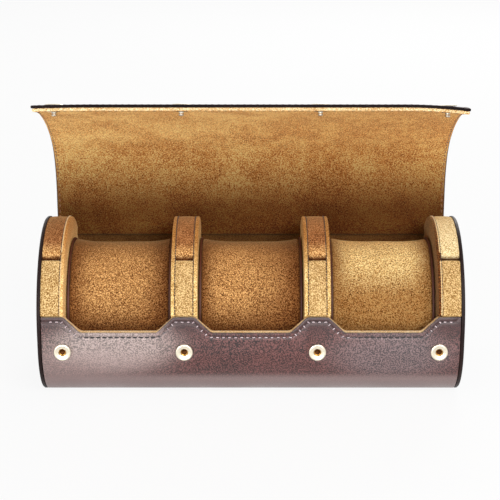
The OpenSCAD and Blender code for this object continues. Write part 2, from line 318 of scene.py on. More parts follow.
def addNode(tree, kind, inputs=None, **settings):
    node = tree.nodes.new(kind)
    for key, value in settings.items():
        setattr(node, key, value)
    for key, value in (inputs or {}).items():
        if isinstance(value, bpy.types.NodeSocket):
            tree.links.new(value, node.inputs[key])
        else:
            node.inputs[key].default_value = value
    return node


def mathNode(tree, operation, a, b=0.0, clamp=False):
    return addNode(tree, "ShaderNodeMath", {0: a, 1: b}, operation=operation, use_clamp=clamp).outputs[0]


def plus(tree, a, b, clamp=False):
    return mathNode(tree, "ADD", a, b, clamp)


def times(tree, a, b):
    return mathNode(tree, "MULTIPLY", a, b)


# how far a noise strays from its middle, made larger or smaller
def strayed(tree, value, gain):
    return times(tree, mathNode(tree, "SUBTRACT", value, 0.5), gain)


# the Mix node's colour sockets have no names of their own: 6 and 7 in, 2 out
def mixColour(tree, factor, a, b, blend="MIX"):
    node = addNode(tree, "ShaderNodeMix", {"Factor": factor, 6: a, 7: b}, data_type="RGBA", blend_type=blend)
    return node.outputs[2]


def vectorNode(tree, operation, a, b=(0, 0, 0)):
    return addNode(tree, "ShaderNodeVectorMath", {0: a, 1: b}, operation=operation)


def noiseNode(tree, vector, scale, detail, roughness=0.5, distortion=0.0):
    return addNode(tree, "ShaderNodeTexNoise", {"Vector": vector, "Scale": scale, "Detail": detail,
                                                "Roughness": roughness, "Distortion": distortion})


def rampNode(tree, factor, low, high):
    node = addNode(tree, "ShaderNodeMapRange", {"Value": factor, "From Min": low, "From Max": high})
    node.interpolation_type = "SMOOTHSTEP"
    return node.outputs["Result"]


def napGroup():
    group, into, out = newGroup(
        "brushedNap", {"Vector": "Vector", "Dark": "Color", "Mid": "Color", "Light": "Color", "Cloud Scale": "Float",
                       "Fibre Scale": "Float", "Cloud Depth": "Float"}, {"Color": "Color", "Height": "Float"})
    vec, clouds, fibres = (into.outputs[label] for label in ("Vector", "Cloud Scale", "Fibre Scale"))
    cloud = noiseNode(group, vec, clouds, 3.0, 0.6, 0.6)
    patch = noiseNode(group, vec, times(group, clouds, 6.0), 2.0, 0.55)
    fibre = noiseNode(group, vec, fibres, 2.0, 0.7)
    speck = noiseNode(group, vec, times(group, fibres, 0.8), 3.0, 0.75)
    cloudy = rampNode(group, cloud.outputs[0], 0.36, 0.66)
    patchy = rampNode(group, patch.outputs[0], 0.34, 0.68)
    swirl = plus(group, times(group, cloudy, 0.7), times(group, patchy, 0.3))
    centred = strayed(group, swirl, into.outputs["Cloud Depth"])
    fine = plus(group, strayed(group, fibre.outputs[0], 3.6), strayed(group, speck.outputs[0], 3.4))
    level = plus(group, plus(group, centred, 0.5), fine, clamp=True)
    lower = mixColour(group, rampNode(group, level, 0.0, 0.5), into.outputs["Dark"], into.outputs["Mid"])
    colour = mixColour(group, rampNode(group, level, 0.5, 1.0), lower, into.outputs["Light"])
    group.links.new(colour, out.inputs["Color"])
    group.links.new(plus(group, times(group, fibre.outputs[0], 0.5), speck.outputs[0]), out.inputs["Height"])
    return group


def grainGroup():
    group, into, out = newGroup(
        "fineGrain", {"Vector": "Vector", "Base": "Color", "Deep": "Color", "Scale": "Float", "Speck": "Float",
                      "Rough Low": "Float", "Rough High": "Float"},
        {"Color": "Color", "Height": "Float", "Roughness": "Float", "Dots": "Float"})
    vec, scale = into.outputs["Vector"], into.outputs["Scale"]
    wander = noiseNode(group, vec, times(group, scale, 0.5), 2.0)
    shift = addNode(group, "ShaderNodeVectorMath", {0: wander.outputs["Color"], "Scale": 0.0009}, operation="SCALE")
    moved = vectorNode(group, "ADD", vec, shift.outputs[0])
    cells = addNode(group, "ShaderNodeTexVoronoi", {"Vector": moved.outputs[0], "Scale": scale},
                    feature="DISTANCE_TO_EDGE")
    fine = noiseNode(group, vec, times(group, scale, 2.6), 2.0)
    broad = noiseNode(group, vec, 28.0, 3.0, 0.55)
    speck = noiseNode(group, vec, times(group, scale, 1.5), 2.0, 0.7)
    crease = rampNode(group, cells.outputs["Distance"], 0.0, 0.16)
    height = plus(group, crease, times(group, fine.outputs[0], 0.5))
    broadly = rampNode(group, broad.outputs[0], 0.32, 0.7)
    dots = strayed(group, speck.outputs[0], into.outputs["Speck"])
    depth = plus(group, times(group, crease, 0.2), times(group, broadly, 0.5))
    depth = plus(group, depth, plus(group, dots, 0.15), clamp=True)
    group.links.new(plus(group, dots, 0.5, clamp=True), out.inputs["Dots"])
    group.links.new(mixColour(group, depth, into.outputs["Deep"], into.outputs["Base"]), out.inputs["Color"])
    group.links.new(height, out.inputs["Height"])
    rough = addNode(group, "ShaderNodeMapRange", {"Value": broadly, "To Min": into.outputs["Rough High"],
                                                  "To Max": into.outputs["Rough Low"]})
    group.links.new(rough.outputs["Result"], out.inputs["Roughness"])
    return group


nap = napGroup()
grain = grainGroup()


def setInputs(node, values):
    for label, value in values.items():
        node.inputs[label].default_value = value


def newMaterial(name):
    mat = bpy.data.materials.new(name)
    mat.use_nodes = True
    tree = mat.node_tree
    return mat, tree, tree.nodes["Principled BSDF"]


def objectPlace(tree):
    return addNode(tree, "ShaderNodeTexCoord").outputs["Object"]


def addBump(tree, shader, height, strength, distance):
    bump = addNode(tree, "ShaderNodeBump", {"Height": height, "Strength": strength, "Distance": distance * mm})
    tree.links.new(bump.outputs[0], shader.inputs["Normal"])


# paintedFades: (source, axis, from, to, tone before, tone beyond) of painted light and shade, along the UV map, the
# object or the "paintedPillowLight" attribute
def suedeMaterial(name, dark, mid, light, cloud, depth, paintedFades=()):
    mat, tree, shader = newMaterial(name)
    group = addNode(tree, "ShaderNodeGroup", node_tree=nap)
    tree.links.new(objectPlace(tree), group.inputs["Vector"])
    setInputs(group, {"Dark": tone(*dark), "Mid": tone(*mid), "Light": tone(*light), "Cloud Scale": cloud,
                      "Fibre Scale": 2000.0, "Cloud Depth": depth})
    colour = group.outputs["Color"]
    for source, axis, low, high, before, after in paintedFades:
        if source == "paintedPillowLight":
            along = addNode(tree, "ShaderNodeAttribute", attribute_name="paintedPillowLight").outputs["Fac"]
        else:
            place = addNode(tree, "ShaderNodeTexCoord").outputs[source]
            along = addNode(tree, "ShaderNodeSeparateXYZ", {0: place}).outputs[axis]
        share = mixColour(tree, rampNode(tree, along, low, high), tone(*before), tone(*after))
        colour = mixColour(tree, 1.0, colour, share, "MULTIPLY")
    tree.links.new(colour, shader.inputs["Base Color"])
    setInputs(shader, {"Roughness": 0.95, "Specular IOR Level": 0.12, "Sheen Weight": 0.3, "Sheen Roughness": 0.45,
                       "Sheen Tint": tone(255, 214, 150)})
    addBump(tree, shader, group.outputs["Height"], 0.7, 0.35)
    return mat


# paintedPatches: (centre, reach, full within, colour, strength, speckle) of the patches of painted highlight,
# reflection, glints and shade on the leather, in mm
def leatherMaterial(name, base, deep, specular, rough=(0.36, 0.48), coat=0.0, scale=900.0, speck=2.4, paintedPatches=()):
    mat, tree, shader = newMaterial(name)
    group = addNode(tree, "ShaderNodeGroup", node_tree=grain)
    tree.links.new(objectPlace(tree), group.inputs["Vector"])
    setInputs(group, {"Base": tone(*base), "Deep": tone(*deep), "Scale": scale, "Speck": speck,
                      "Rough Low": rough[0], "Rough High": rough[1]})
    colour = group.outputs["Color"]
    for centre, reach, core, patchTone, strength, dotted in paintedPatches:
        away = vectorNode(tree, "SUBTRACT", objectPlace(tree), tuple(c * mm for c in centre))
        away = vectorNode(tree, "DIVIDE", away.outputs[0], tuple(r * mm for r in reach))
        near = rampNode(tree, vectorNode(tree, "LENGTH", away.outputs[0]).outputs["Value"], 1.0, core)
        near = times(tree, near, plus(tree, strayed(tree, group.outputs["Dots"], dotted), strength))
        colour = mixColour(tree, near, colour, tone(*patchTone))
    tree.links.new(colour, shader.inputs["Base Color"])
    tree.links.new(group.outputs["Roughness"], shader.inputs["Roughness"])
    setInputs(shader, {"Specular IOR Level": specular, "Coat Weight": coat, "Coat Roughness": 0.3})
    addBump(tree, shader, group.outputs["Height"], 0.35, 0.08)
    return mat


def metalMaterial(name, colour, roughness):
    mat, tree, shader = newMaterial(name)
    brush = noiseNode(tree, objectPlace(tree), 900.0, 3.0)
    worn = rampNode(tree, brush.outputs[0], 0.3, 0.7)
    darker = tuple(c * 0.8 for c in tone(*colour)[:3]) + (1.0,)
    tree.links.new(mixColour(tree, worn, darker, tone(*colour)), shader.inputs["Base Color"])
    level = addNode(tree, "ShaderNodeMapRange", {"Value": worn, "To Min": roughness * 1.3, "To Max": roughness * 0.8})
    tree.links.new(level.outputs["Result"], shader.inputs["Roughness"])
    shader.inputs["Metallic"].default_value = 1.0
    addBump(tree, shader, brush.outputs[0], 0.12, 0.02)
    return mat


# shadedStretches: (centre x, reach, colour) of stretches of the seam painted darker as painted shade, in mm
def threadMaterial(name, dark, light, shadedStretches=()):
    mat, tree, shader = newMaterial(name)
    twist = noiseNode(tree, objectPlace(tree), 2600.0, 1.0)
    colour = mixColour(tree, rampNode(tree, twist.outputs[0], 0.35, 0.65), tone(*dark), tone(*light))
    for centre, reach, shadeTone in shadedStretches:
        along = addNode(tree, "ShaderNodeSeparateXYZ", {0: objectPlace(tree)}).outputs["X"]
        away = mathNode(tree, "ABSOLUTE", mathNode(tree, "SUBTRACT", along, centre * mm))
        colour = mixColour(tree, rampNode(tree, away, reach * mm, reach * mm * 0.6), colour, tone(*shadeTone))
    tree.links.new(colour, shader.inputs["Base Color"])
    setInputs(shader, {"Roughness": 0.6, "Sheen Weight": 0.2})
    addBump(tree, shader, twist.outputs[0], 0.4, 0.08)
    return mat


white = (255, 255, 255)
# painted light on the wall leather, row by row: light specks over the case as painted glints; a darker band high on the
# case as painted shade; three patches of painted highlight, two on the left and one on the right; a lighter band low on
# the case as a painted floor reflection; the back darkened again to cover that painted reflection there
wallPaintedPatches = [((0, -45, 30), (2000, 2000, 60), 0.3, (166, 122, 120), -0.1, 0.56),
            ((0, -45, 53), (2000, 2000, 17), 0.5, (44, 16, 18), 0.75, 0.1),
            ((-68, -44, 32), (45, 30, 17), 0.35, (190, 174, 168), 0.5, 0.45),
            ((-86, -44, 21), (60, 30, 13), 0.3, (160, 138, 134), 0.5, 0.2),
            ((70, -44, 27), (44, 30, 19), 0.35, (146, 136, 138), 0.27, 0.3),
            ((0, 0, 0), (2000, 2000, 17), 0.72, (128, 106, 103), 0.82, 0.15),
            ((0, 60, 30), (2000, 55, 2000), 0.5, (64, 38, 36), 0.8, 0.3)]
wallLeather = leatherMaterial("wallLeather", (92, 48, 43), (22, 6, 6), 0.5, coat=0.12, scale=1150.0, speck=9.0,
                              paintedPatches=wallPaintedPatches)
lidLeather = leatherMaterial("lidLeather", (76, 46, 42), (38, 18, 16), 0.28, (0.5, 0.62), scale=1250.0, speck=3.6)
edgePaint = leatherMaterial("edgePaint", (26, 16, 16), (14, 8, 8), 0.08, (0.6, 0.7))
capLeather = leatherMaterial("capLeather", (36, 21, 19), (22, 11, 11), 0.14)
panelLeather = leatherMaterial("panelLeather", (96, 50, 34), (62, 32, 21), 0.4, (0.45, 0.6), scale=1200.0)
# painted shade: the lid lining darker towards its lower end, and a little darker towards its right side
lidLiningShade = [("UV", "Y", 0.006, 0.066, (100, 82, 62), white), ("Object", "X", -0.05, 0.09, white, (242, 234, 226))]
# painted shade: the case lining darker further down inside the case
caseLiningShade = [("UV", "Y", 0.05, 0.12, white, (150, 116, 84))]
# painted shade: the head pads darker low down at the notch and darker on top
headPaintedShade = [("Object", "Z", 0.0712, 0.0738, (122, 94, 76), white),
            ("Object", "Z", 0.0745, 0.0785, white, (194, 170, 164))]
# painted shade: the right end head pad darker low down at the notch
rightHeadNotchShade = [("Object", "Z", 0.0708, 0.0738, (76, 50, 34), white)]
# painted shade: the side plates darker towards the top
platePaintedShade = [("Object", "Z", 0.064, 0.08, white, (206, 176, 146))]
# painted light and shade on the pillow covers, from their paintedPillowLight attribute, shallower on the right pillow
pillowPaintedLight = [("paintedPillowLight", "", 0.0, 1.0, (154, 128, 108), (243, 240, 238))]
rightPillowPaintedLight = [("paintedPillowLight", "", 0.0, 1.0, (172, 146, 124), white)]
suedes = dict(  # dark, mid and light suede tones, cloud scale, cloud depth, fades of painted light and shade
    lining=((144, 78, 30), (240, 166, 86), (255, 234, 156), 34.0, 0.46, lidLiningShade),
    case=((150, 104, 50), (230, 182, 104), (255, 232, 164), 60.0, 0.3, caseLiningShade),
    plate=((150, 108, 52), (220, 176, 108), (252, 226, 164), 70.0, 0.3, platePaintedShade),
    rim=((190, 146, 92), (240, 210, 160), (255, 242, 214), 70.0, 0.3),
    edge=((170, 124, 72), (222, 186, 130), (244, 222, 178), 70.0, 0.3),
    gold=((124, 86, 40), (184, 146, 90), (234, 202, 146), 80.0, 0.25),
    # a lighter copy of the head suede for the right end head pad: painted light
    pale=((168, 132, 80), (236, 208, 150), (255, 240, 196), 80.0, 0.25, rightHeadNotchShade),
    head=((112, 66, 30), (196, 140, 80), (250, 206, 140), 80.0, 0.3, headPaintedShade),
    # lighter and darker copies of the plate suede for the two end plates: painted light and painted shade
    bright=((176, 126, 66), (236, 188, 118), (255, 228, 166), 70.0, 0.3, platePaintedShade),
    core=((112, 70, 38), (156, 106, 60), (196, 146, 92), 90.0, 0.6),
    shade=((44, 20, 6), (82, 42, 16), (146, 92, 46), 70.0, 0.3),
    pillow=((94, 54, 24), (176, 124, 69), (238, 192, 126), 50.0, 0.16, pillowPaintedLight),
    # a lighter copy of the pillow suede for the right pillow: painted light
    right=((118, 82, 38), (226, 180, 110), (255, 240, 178), 50.0, 0.16, rightPillowPaintedLight))
suede = {name: suedeMaterial(name + "Suede", *look) for name, look in suedes.items()}
snapGold = metalMaterial("paleGold", (250, 240, 216), 0.3)
postSteel = metalMaterial("postSteel", (206, 196, 178), 0.25)
ringGold = metalMaterial("ringGold", (190, 140, 72), 0.3)
# a darker gold for the sockets' holes: painted shade
pitShadeGold = metalMaterial("pitShadeGold", (76, 46, 24), 0.5)
# the wall seam's thread is painted darker in the valleys left and right of the middle: painted shade
wallThread = threadMaterial("wallThread", (156, 130, 134), (234, 214, 216),
                            shadedStretches=[(-63, 27, (26, 14, 14)), (68, 24, (34, 20, 20))])
lidThread = threadMaterial("lidThread", (46, 28, 28), (78, 56, 56))
seamShade = threadMaterial("seamShade", (12, 6, 8), (22, 12, 14))
suedeThread = threadMaterial("suedeThread", (84, 50, 24), (132, 86, 44))
darkThread = threadMaterial("darkThread", (34, 18, 8), (66, 38, 18))
paleThread = threadMaterial("paleThread", (196, 152, 92), (244, 216, 160))
print("materials ready")


# the outer leather and the lining of the case

wallGrid = dict(columns=272, liningColumns=204, studGirths=(6, 17), studRows=16, under=46, backAngle=75,
                liningAngle=45, edgeRound=0.45, liningRound=0.7, rimOver=30, rimFacing=0.45,
                nearEdge=(0, 0.3, 0.65, 1.0, 1.4, 1.8, 2.1, 2.35, 2.6, 2.95, 3.4, 4.1, 5.0))
pressing = dict(to=9, search=7, rim=2.35, groove=0.32, grooveWide=0.55, lip=0.12, lipOut=1.25, lipWide=0.7,
                dimple=0.5, dimpleR=6, dimpleEase=1.5)
studHole = dict(xs=(-92.8, -32.8, 32.8, 92.8), z=28.5, r=2.3, cut=0.35, gather=2, frontOf=-30)
apart = 0.03  # keeps the faces of two layers from lying in one place
thirds = [p + (q - p) * i / 3 for p, q in zip(scallop, scallop[1:]) for i in range(3)]
# the scalloped edge again, in points no more than 0.4 mm apart
closeEdge = [p + (q - p) * i / n for p, q in zip(thirds, thirds[1:])
             for n in [max(1, math.ceil((q - p).length / 0.4))] for i in range(n)]


# distances from the edge, then rows down the front past the studs and round the underside
def wallRows(last):
    top, low = wallGrid["studGirths"]
    n, under = wallGrid["studRows"], wallGrid["under"]
    rows = [(1, d) for d in wallGrid["nearEdge"]] + [(0, top + (low - top) * i / n) for i in range(n + 1)]
    return rows + [(0, low + (last - low) * i / under) for i in range(1, under + 1)]


def edgeDistance(x, g):
    reach = pressing["search"]
    return min(((x - p.x) ** 2 + (g - heightGirth(p.y)) ** 2 for p in closeEdge if abs(p.x - x) < reach),
               default=reach ** 2) ** 0.5


def studDistance(x, z):
    return min(math.hypot(x - sx, z - studHole["z"]) for sx in studHole["xs"])


def eased(t):
    t = min(1.0, max(0.0, t))
    return t * t * (3 - 2 * t)


# how deep the leather is pressed in along the seam and round the studs
def pressed(x, g):
    size, depth = pressing, 0.0
    if g < size["to"]:
        away = edgeDistance(x, g) - size["rim"]
        depth += size["groove"] * math.exp(-(away / size["grooveWide"]) ** 2)
        depth -= size["lip"] * math.exp(-((away + size["lipOut"]) / size["lipWide"]) ** 2)
    if g > 0:
        depth += size["dimple"] * eased((size["dimpleR"] - studDistance(x, section["archZ"] - g)) / size["dimpleEase"])
    return depth


def wallSheet(inset, last, columns, shaped=False):
    rows = wallRows(last)
    count = len(rows) - 1

    def across(u):
        return (2 * u - 1) * section["halfLength"]

    def girth(x, v):
        near, amount = rows[round((1 - v) * count)]
        return heightGirth(edgeHeight(x)) + amount if near else amount

    def place(u, v):
        x = across(u)
        g = girth(x, v)
        y, z, _, _ = caseAt(g, -inset - (pressed(x, g) if shaped else 0))
        return x, y, z

    def chart(u, v):
        return across(u) * mm, girth(across(u), v) * mm

    return gridSheet(columns, count, place, chart)


# opens the sheet behind each press stud and rounds the hole
def punch(obj):
    radius = studHole["r"]

    def near(p, reach):
        return p.y < studHole["frontOf"] * mm and studDistance(p.x / mm, p.z / mm) < radius + reach

    startEdit(obj, "DESELECT")
    endEdit()
    for face in obj.data.polygons:
        face.select = near(face.center, studHole["cut"])
    bpy.ops.object.mode_set(mode="EDIT")
    bpy.ops.mesh.delete(type="FACE")
    bpy.ops.mesh.select_all(action="DESELECT")
    bpy.ops.mesh.select_mode(type="VERT")
    bpy.ops.mesh.select_non_manifold(extend=False)
    endEdit()
    for v in obj.data.vertices:
        if v.select and near(v.co, studHole["gather"]):
            sx = min(studHole["xs"], key=lambda c: abs(c - v.co.x / mm))
            arm = Vector((v.co.x - sx * mm, 0, v.co.z - studHole["z"] * mm))
            v.co += arm.normalized() * radius * mm - arm


caseLeather = wallSheet(0, backGirth(wallGrid["backAngle"]), wallGrid["columns"], shaped=True)
punch(caseLeather)
thicken(caseLeather, section["leather"] - apart)
roundEdges(caseLeather, wallGrid["edgeRound"], 2, 60)
dress(caseLeather, "caseLeather", wallLeather)
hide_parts("wrap_leather")
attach(caseLeather, "case")

caseLining = wallSheet(section["leather"], backGirth(wallGrid["liningAngle"]), wallGrid["liningColumns"])
punch(caseLining)
thicken(caseLining, section["lining"])
roundEdges(caseLining, wallGrid["liningRound"], 3, 60)
dress(caseLining, "caseLining", suede["case"])
finishFaces(caseLining, suede["rim"],  # the top edge of the front wall, in a paler suede as a painted highlight
            lambda c, n: c.y < studHole["frontOf"] and c.z > wallGrid["rimOver"] and n.z > wallGrid["rimFacing"])
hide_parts("wrap_lining", "wrap_board")
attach(caseLining, "case")
print("case walls ready")


# the lid: five stretches of leather and of lining, each laid across one joint

fold = dict(leave=58, bulge=3, span=(62.0, 78.5), steps=12, backRows=8)


# the free fold of leather between the back and the lid, on its outer face
def foldPoints():
    mid = lid["leather"] / 2
    a = math.radians(fold["leave"])
    r = section["archR"] - mid
    start = Vector((r * math.sin(a), section["archZ"] + r * math.cos(a)))
    y, z, _, _ = lidAt(0, lidThick - mid)
    end = Vector((y, z))
    turn1 = start + fold["bulge"] * Vector((-math.cos(a), math.sin(a)))
    turn2 = end - Vector((0, fold["bulge"]))
    last = fold["steps"]
    line = []
    for i in range(last + 1):
        t = i / last
        line.append((1 - t) ** 3 * start + 3 * t * (1 - t) ** 2 * turn1 + 3 * t * t * (1 - t) * turn2 + t ** 3 * end)
    points = []
    for i, p in enumerate(line):
        d = (line[min(i + 1, last)] - line[max(i - 1, 0)]).normalized()
        points.append((p.x + mid * d.y, p.y - mid * d.x))
    return points


# even steps along the lid
def lidLine(s0, s1, step):
    n = max(2, round((s1 - s0) / step))
    return [s0 + (s1 - s0) * i / n for i in range(n + 1)]


# up the back from the case leather's edge to where the fold leaves it
def backLine():
    last, leave, n = backGirth(wallGrid["backAngle"]), backGirth(fold["leave"]), fold["backRows"]
    return [caseAt(last + (leave - last) * i / n)[:2] for i in range(n)]


def lidStrip(points, half, columns, lengths):
    rows = len(points) - 1

    def place(u, v):
        return points[round(v * rows)]((2 * u - 1) * half)

    def chart(u, v):
        return (2 * u - 1) * half * mm, lengths[round(v * rows)] * mm

    return gridSheet(columns, rows, place, chart)


# turns a sheet's faces outward where it faces inward at its middle
def flipOutward(obj, ny, nz, z):
    face = min(obj.data.polygons, key=lambda f: abs(f.center.x) + abs(f.center.z - z * mm))
    if face.normal.dot(Vector((0, ny, nz))) < 0:
        startEdit(obj)
        bpy.ops.mesh.flip_normals()
        endEdit()


# bakes a piece's transform into its mesh; it makes no bend over joint k
def bendWith(obj, k):
    if k == 0:
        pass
    else:
        y, z, ny, nz = lidAt(lid["joints"][k])
    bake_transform(obj)


# picks the faces of a sheet's free end, at s
def lidEnd(s, within=5):
    (y0, z0), (y1, z1) = lidAt(s - 1)[:2], lidAt(s)[:2]
    along = Vector((0, y1 - y0, z1 - z0)).normalized()
    return lambda c, n: n.dot(along) > 0.5 and abs(c.y - y1) < within and abs(c.z - z1) < within


lidParts = dict(columns=80, step=2.2, edgeRound=0.35, liningFrom=1.2, liningRound=0.6, liningSpan=(70.2, 79.0),
                overWall=((29.0, 67.2), (30.4, 68.6), (31.6, 69.75), (32.6, 70.9)))

for k in range(5):
    s0 = 0 if k == 0 else lid["borders"][k - 1]
    s1 = lid["borders"][k]
    places, lengths = [], []
    if k == 0:
        for y, z in backLine() + foldPoints()[:-1]:
            places.append(lambda x, y=y, z=z: (x, y, z))
            lengths.append(z - lid["hinge"][1])
    for s in lidLine(s0, s1, lidParts["step"]):
        places.append(lambda x, s=s: lidPoint(x, s, lidThick))
        lengths.append(s)
    sheet = lidStrip(places, section["halfLength"], lidParts["columns"], lengths)
    y, z, ny, nz = lidAt((s0 + s1) / 2, lidThick)
    flipOutward(sheet, ny, nz, z)
    thicken(sheet, lid["leather"] - apart)
    roundSides(sheet, lidParts["columns"], len(places) - 1, lidParts["edgeRound"], 2, k == 4)
    dress(sheet, f"lidLeather{k + 1}", lidLeather)
    if k == 4:
        finishFaces(sheet, edgePaint, lidEnd(s1))
    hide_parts(f"lid_leather_{k + 1}", *(["hinge_fold"] if k == 0 else []))
    bendWith(sheet, k)

    steps = lidLine(lidParts["liningFrom"] if k == 0 else s0, s1 - (lid["liningIn"] if k == 4 else 0), lidParts["step"])
    places = [lambda x, s=s: lidPoint(x, s, 0) for s in steps]
    if k == 0:  # down over the edge of the back wall
        places = [lambda x, y=y, z=z: (x, y, z) for y, z in lidParts["overWall"]] + places
        steps = [z - lid["hinge"][1] for _, z in lidParts["overWall"]] + steps
    sheet = lidStrip(places, section["halfLength"] - lid["liningIn"], lidParts["columns"], steps)
    flipOutward(sheet, ny, nz, z)
    thicken(sheet, lid["lining"], 1)
    roundSides(sheet, lidParts["columns"], len(places) - 1, lidParts["liningRound"], 3, k == 4)
    dress(sheet, f"lidLining{k + 1}", suede["lining"])
    if k == 4:
        finishFaces(sheet, suede["edge"], lidEnd(s1 - lid["liningIn"]))
    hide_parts(f"lid_lining_{k + 1}", f"lid_board_{k + 1}")
    bendWith(sheet, k)
print("lid ready")


# the end caps, the dividers and their padding

caps = dict(width=0.45, segments=3, angle=30)
for side in ("left", "right"):
    cap = weldedCopy(f"{side}_cap_leather")
    roundEdges(cap, caps["width"], caps["segments"], caps["angle"])
    dress(cap, f"{side}EndCap", capLeather)
    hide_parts(f"{side}_cap_leather")
    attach(cap, "case")

# the left end plate takes the lighter suede and the right end plate the darker one: painted light and painted shade on
# their flanks
plates = dict(width=0.6, segments=3, nap=dict(left_end_plate="bright", right_end_plate="shade"))
for node in ("left_end_plate", "left_mid_plate_outer", "left_mid_plate_inner",
             "right_mid_plate_inner", "right_mid_plate_outer", "right_end_plate"):
    plate = weldedCopy(node)
    roundEdges(plate, plates["width"], plates["segments"], 50)
    dress(plate, pieceName(node), suede[plates["nap"].get(node, "plate")])
    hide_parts(node)
    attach(plate, "case")

pads = dict(width=0.5, segments=3, crown=0.25, crownDepth=6, cuts=6, noseFrom=28, noseOver=9, noseTo=41, noseR=36,
            nose=2.9, noseSides=0.2, noseSwell=0.3)


# cuts a pad across its width, swells its outer face a little and lets a head's nose roll over the notch
def crownPad(obj, size):
    low = min(v.co.x for v in obj.data.vertices)
    high = max(v.co.x for v in obj.data.vertices)
    startEdit(obj)
    for i in range(1, size["cuts"]):
        bpy.ops.mesh.select_all(action="SELECT")
        bpy.ops.mesh.bisect(plane_co=(low + (high - low) * i / size["cuts"], 0, 0), plane_no=(1, 0, 0))
    endEdit()
    middle, half = (low + high) / 2, (high - low) / 2
    for v in obj.data.vertices:
        arm = Vector((0, v.co.y, v.co.z - section["archZ"] * mm))
        side = ((v.co.x - middle) / half) ** 2
        if arm.length > (section["archR"] - size["crownDepth"]) * mm:
            v.co += arm.normalized() * size["crown"] * (1 - side) * mm
        angle = math.degrees(math.atan2(-arm.y, arm.z))
        if size["noseFrom"] < angle < size["noseTo"] and arm.length > size["noseR"] * mm:
            t = eased((angle - size["noseFrom"]) / size["noseOver"])
            turn = Matrix.Rotation(math.radians(size["nose"] * t * (1 - size["noseSides"] * side)), 3, "X")
            swell = 1 + size["noseSwell"] * mm * 4 * t * (1 - t) * (1 - side) / arm.length
            v.co += turn @ arm * swell - arm


for place in ("left_end", "left_mid", "right_mid", "right_end"):
    # the right end head pad takes the lighter head suede, as painted light
    for kind, look in (("head_pad", "pale" if place == "right_end" else "head"), ("post_pad", "gold")):
        node = f"{place}_{kind}"
        pad = weldedCopy(node)
        roundEdges(pad, pads["width"], pads["segments"], 50)
        crownPad(pad, pads)
        dress(pad, pieceName(node), suede[look], 60)
        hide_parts(node)
        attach(pad, "case")
print("dividers ready")


# the pillows

# nap: each pillow's painted light and shade, as the elevation it is lit from, low, span and the left and right reach of
# the shade at its ends
pillow = dict(r=33, z=39, waist=1.7, round=1.4, turns=5, half=24.75, rows=22, steps=112, rings=(0, 8, 16, 24, 29),
              xs=dict(left=-65.6, middle=0, right=65.6), endEase=0.8,
              nap=dict(left=(46, 0.56, 0.44, 14, 19), middle=(46, 0.56, 0.44, 9, 30), right=(93, 0.3, 0.675, 9, 11)),
              lumps=dict(size=0.014, strength=0.5), panelRound=0.3)


# one half of the turned form from its flat end, then the waist, then the half again
def pillowProfile():
    p = pillow
    flat = p["half"] - p["round"]

    def waisted(x):
        return p["r"] - p["waist"] * (1 - (x / p["half"]) ** 4)

    half = [(r, -p["half"]) for r in p["rings"]]
    for i in range(p["turns"] + 1):
        a = math.radians(90 - 90 * i / p["turns"])
        x = flat + p["round"] * math.sin(a)
        half.append((waisted(x) - p["round"] * (1 - math.cos(a)), -x))
    body = [(waisted(x), x) for x in (-flat + 2 * flat * i / p["rows"] for i in range(1, p["rows"]))]
    return half + body + [(r, -x) for r, x in reversed(half)]


standUp = Matrix.Rotation(math.radians(90), 4, "Y")


# paints light and shade into a pillow cover's colour, stored as its paintedPillowLight attribute: lit round this
# elevation, shaded towards the left and the right end
def brush(obj, x, elevation, low, span, left, right):
    face = Vector((0, -math.cos(math.radians(elevation)), math.sin(math.radians(elevation))))
    layer = obj.data.attributes.new("paintedPillowLight", "FLOAT", "POINT")
    for v in obj.data.vertices:
        arm = Vector((0, v.co.y, v.co.z - pillow["z"] * mm)).normalized()
        turned = min(1.0, max(0.0, (arm.dot(face) - low) / span))
        away = v.co.x / mm - x
        along = 1.0
        for room, reach in ((pillow["half"] + away, left), (pillow["half"] - away, right)):
            along *= min(1.0, max(0.0, room / reach)) ** pillow["endEase"]
        layer.data[v.index].value = turned * along


lumps = bpy.data.textures.new("fillingLumps", "CLOUDS")
lumps.noise_scale = pillow["lumps"]["size"]
pillowForm = lathe(pillowProfile(), pillow["steps"])
for name, x in pillow["xs"].items():
    cover = copyAt(pillowForm, Matrix.Translation(Vector((x, 0, pillow["z"])) * mm) @ standUp)
    applyModifier(cover, "DISPLACE", texture=lumps, texture_coords="LOCAL", mid_level=0.5,
                  strength=pillow["lumps"]["strength"] * mm)
    brush(cover, x, *pillow["nap"][name])
    # the right pillow takes the lighter pillow suede, as painted light
    dress(cover, f"{name}PillowCover", suede["right" if name == "right" else "pillow"], 50)
    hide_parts(f"{name}_pillow_cover", f"{name}_pillow_filling")
    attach(cover, f"{name}_pillow")
    for side in ("left", "right"):
        panel = weldedCopy(f"{name}_pillow_{side}_panel")
        roundEdges(panel, pillow["panelRound"], 2, 50)
        dress(panel, f"{name}Pillow{side.title()}Panel", panelLeather)
        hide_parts(f"{name}_pillow_{side}_panel")
        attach(panel, f"{name}_pillow")
bpy.data.objects.remove(pillowForm)
print("pillows ready")


# the press studs

stud = dict(depth=2.6, pitR=1.84, pitIn=0.2, fromTip=8, steps=40, ringSteps=32, postSteps=28)
socketProfile = [(0, -stud["depth"]), (1.3, -stud["depth"]), (1.8, -2.3), (1.8, -0.1), (1.95, 0.2), (2.25, 0.32),
                 (2.6, 0.35), (2.9, 0.37), (3.3, 0.53), (3.7, 0.58), (4.0, 0.48), (4.2, 0.3), (4.25, 0.1),
                 (4.25, -0.15), (2.6, -0.15), (2.6, -3.0), (0, -3.0)]
ringProfile = [(1.8, -0.5), (1.45, -0.6), (1.36, -0.8), (1.45, -1.0), (1.8, -1.1)]


def turnedParts(name, profile, steps, places, material):
    return dress(joinedCopies(lathe(profile, steps), places), name, material, 50)


